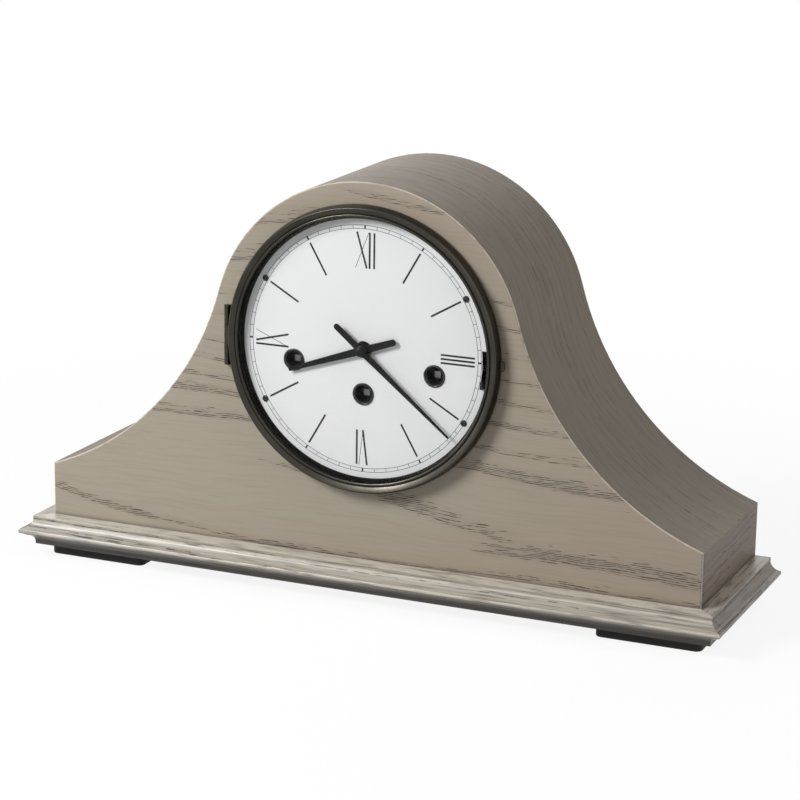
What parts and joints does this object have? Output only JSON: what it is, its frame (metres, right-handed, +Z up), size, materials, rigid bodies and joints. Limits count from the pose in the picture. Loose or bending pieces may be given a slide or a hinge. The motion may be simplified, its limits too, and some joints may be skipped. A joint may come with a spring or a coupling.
{
  "type": "mantel clock",
  "caption": "Tambour mantel clock: humped wooden case with flared shoulders on a moulded base, round white dial behind a hinged glazed bezel, key-wound chiming movement inside.",
  "frame": {"origin": "on the surface that the clock stands on, under the middle of its box", "axes": "+Z up, dial towards -Y, +X to the right as seen from the front"},
  "size_m": [0.4382, 0.122, 0.244],
  "materials": {
    "front_veneer": "cerused oak veneer, warm grey, horizontal grain, satin",
    "top_veneer": "darker grey-brown oak veneer, fine grain, satin",
    "moulding_wood": "stained oak moulding with worn pale edges, satin",
    "base_wood": "plain board, stained",
    "carcase_board": "brown fibreboard, matt",
    "foot_black": "near-black, matt",
    "bezel_bronze": "dark bronze, semi-gloss",
    "glass": "clear convex glass",
    "dial_white": "white, satin",
    "black_fittings": "black, semi-gloss",
    "hand_black": "black, satin",
    "movement_brass": "rolled brass, brushed",
    "barrel_brass": "turned brass",
    "movement_steel": "bright steel",
    "chime_rod_steel": "drawn rod, slightly darkened",
    "chime_iron": "black iron casting",
    "hammer_brass": "turned brass with pale tips",
    "door_brass": "pressed brass, dulled",
    "catch_steel": "zinc-plated",
    "catch_plastic": "brown plastic"
  },
  "bodies": {
    "case": {"base_panel": "base_wood", "moulding_front": "moulding_wood", "moulding_right": "moulding_wood", "moulding_left": "moulding_wood", "foot_pads": "foot_black", "front_panel": "front_veneer", "front_frame": "carcase_board", "arch_shell": "top_veneer", "end_panel_right": "top_veneer", "end_panel_left": "top_veneer", "rear_frame": "carcase_board", "door_hinge_fixed": "door_brass", "magnet_catch": "catch_plastic", "dial_plate": "dial_white", "dial_screws": "black_fittings", "winding_grommets": "black_fittings", "bezel_seat_ring": "bezel_bronze", "bezel_hinge_pin": "movement_steel", "movement_front_plate": "movement_brass", "movement_back_plate": "movement_brass", "plate_pillars": "movement_steel", "movement_fixings": "movement_steel", "balance_bridge": "movement_brass", "chime_bracket": "movement_steel", "hammer_arbor": "movement_steel", "chime_block": "chime_iron", "chime_rods": "chime_rod_steel", "block_bolts": "movement_steel"},
    "bezel": {"bezel_ring": "bezel_bronze", "bezel_glass": "glass", "glass_retainer": "black_fittings", "bezel_hinge_knuckle": "bezel_bronze", "bezel_pull": "bezel_bronze"},
    "rear_door": {"rear_door": "carcase_board", "door_knob": "door_brass", "door_hinge_moving": "door_brass", "strike_plate": "catch_steel"},
    "minute": {"minute_hand": "hand_black", "hand_nut": "hand_black", "cannon_pinion": "movement_steel"},
    "hour": {"hour_hand": "hand_black", "hour_wheel": "movement_brass"},
    "minute_wheel": {"minute_wheel": "movement_brass"},
    "silence_lever": {"silence_lever": "black_fittings"},
    "winding_arbor_strike": {"winding_arbor_strike": "movement_steel"},
    "winding_arbor_time": {"winding_arbor_time": "movement_steel"},
    "winding_arbor_chime": {"winding_arbor_chime": "movement_steel"},
    "time_barrel": {"time_barrel": "barrel_brass"},
    "centre_wheel": {"centre_wheel": "movement_brass"},
    "third_wheel": {"third_wheel": "movement_brass"},
    "escape_wheel": {"escape_wheel": "movement_brass"},
    "balance_wheel": {"balance_wheel": "movement_brass"},
    "strike_barrel": {"strike_barrel": "barrel_brass"},
    "strike_wheel": {"strike_wheel": "movement_brass"},
    "chime_barrel": {"chime_barrel": "barrel_brass"},
    "chime_drum": {"chime_drum": "movement_brass"},
    "hammer_1": {"hammer_1": "hammer_brass"},
    "hammer_2": {"hammer_2": "hammer_brass"},
    "hammer_3": {"hammer_3": "hammer_brass"},
    "hammer_4": {"hammer_4": "hammer_brass"}
  },
  "joints": [
    {"name": "bezel_swing", "type": "hinge", "parent": "case", "child": "bezel", "pos_m": [-0.0853, -0.0469, 0.1485], "axis": [0, 0, -1], "range_deg": [0, 110]},
    {"name": "rear_door_swing", "type": "hinge", "parent": "case", "child": "rear_door", "pos_m": [-0.0815, 0.0567, 0.1485], "axis": [0, 0, 1], "range_deg": [0, 110]},
    {"name": "minute_turn", "type": "hinge", "parent": "case", "child": "minute", "pos_m": [0, -0.045, 0.1485], "axis": [0, 1, 0], "continuous": true},
    {"name": "hour_turn", "type": "hinge", "parent": "case", "child": "hour", "pos_m": [0, -0.042, 0.1485], "axis": [0, 1, 0], "continuous": true},
    {"name": "minute_wheel_turn", "type": "hinge", "parent": "case", "child": "minute_wheel", "pos_m": [-0.01009, -0.035, 0.16292], "axis": [0, 1, 0], "continuous": true},
    {"name": "silence_lever_swing", "type": "hinge", "parent": "case", "child": "silence_lever", "pos_m": [0.028, -0.036, 0.1471], "axis": [0, -1, 0], "range_deg": [0, 21]},
    {"name": "time_barrel_turn", "type": "hinge", "parent": "case", "child": "time_barrel", "pos_m": [0, -0.01, 0.1227], "axis": [0, 1, 0], "continuous": true},
    {"name": "centre_wheel_turn", "type": "hinge", "parent": "case", "child": "centre_wheel", "pos_m": [0, -0.015, 0.1485], "axis": [0, 1, 0], "continuous": true},
    {"name": "third_wheel_turn", "type": "hinge", "parent": "case", "child": "third_wheel", "pos_m": [0.0099, -0.013, 0.16565], "axis": [0, 1, 0], "continuous": true},
    {"name": "escape_wheel_turn", "type": "hinge", "parent": "case", "child": "escape_wheel", "pos_m": [-0.00397, -0.013, 0.17648], "axis": [0, 1, 0], "continuous": true},
    {"name": "balance_swing", "type": "hinge", "parent": "case", "child": "balance_wheel", "pos_m": [-0.024, 0.012, 0.1805], "axis": [0, 1, 0], "range_deg": [-150, 150], "stiffness_Nm_per_rad": 0.00002},
    {"name": "strike_barrel_turn", "type": "hinge", "parent": "case", "child": "strike_barrel", "pos_m": [-0.0433, -0.01, 0.138], "axis": [0, 1, 0], "continuous": true},
    {"name": "strike_wheel_turn", "type": "hinge", "parent": "case", "child": "strike_wheel", "pos_m": [-0.03662, -0.013, 0.16292], "axis": [0, 1, 0], "continuous": true},
    {"name": "chime_barrel_turn", "type": "hinge", "parent": "case", "child": "chime_barrel", "pos_m": [0.0433, -0.01, 0.138], "axis": [0, 1, 0], "continuous": true},
    {"name": "chime_drum_turn", "type": "hinge", "parent": "case", "child": "chime_drum", "pos_m": [0.03448, 0.01, 0.11376], "axis": [0, 1, 0], "continuous": true},
    {"name": "winding_arbor_strike_turn", "type": "hinge", "parent": "case", "child": "winding_arbor_strike", "pos_m": [-0.0433, -0.02, 0.138], "axis": [0, 1, 0], "continuous": true},
    {"name": "winding_arbor_time_turn", "type": "hinge", "parent": "case", "child": "winding_arbor_time", "pos_m": [0, -0.02, 0.1227], "axis": [0, 1, 0], "continuous": true},
    {"name": "winding_arbor_chime_turn", "type": "hinge", "parent": "case", "child": "winding_arbor_chime", "pos_m": [0.0433, -0.02, 0.138], "axis": [0, 1, 0], "continuous": true},
    {"name": "hammer_1_lift", "type": "hinge", "parent": "case", "child": "hammer_1", "pos_m": [0.05575, 0.014, 0.1158], "axis": [0, -1, 0], "range_deg": [0, 20]},
    {"name": "hammer_2_lift", "type": "hinge", "parent": "case", "child": "hammer_2", "pos_m": [0.05575, 0.022, 0.1158], "axis": [0, -1, 0], "range_deg": [0, 20]},
    {"name": "hammer_3_lift", "type": "hinge", "parent": "case", "child": "hammer_3", "pos_m": [0.05575, 0.03, 0.1158], "axis": [0, -1, 0], "range_deg": [0, 20]},
    {"name": "hammer_4_lift", "type": "hinge", "parent": "case", "child": "hammer_4", "pos_m": [0.05575, 0.038, 0.1158], "axis": [0, -1, 0], "range_deg": [0, 20]}
  ],
  "couplings": [
    {"joint": "hour_turn", "follows": "minute_turn", "ratio": 0.083333},
    {"joint": "minute_wheel_turn", "follows": "minute_turn", "ratio": -0.33333},
    {"joint": "time_barrel_turn", "follows": "centre_wheel_turn", "ratio": -0.2},
    {"joint": "third_wheel_turn", "follows": "centre_wheel_turn", "ratio": -5},
    {"joint": "escape_wheel_turn", "follows": "centre_wheel_turn", "ratio": 25},
    {"joint": "strike_wheel_turn", "follows": "strike_barrel_turn", "ratio": -5},
    {"joint": "chime_drum_turn", "follows": "chime_barrel_turn", "ratio": -5}
  ]
}
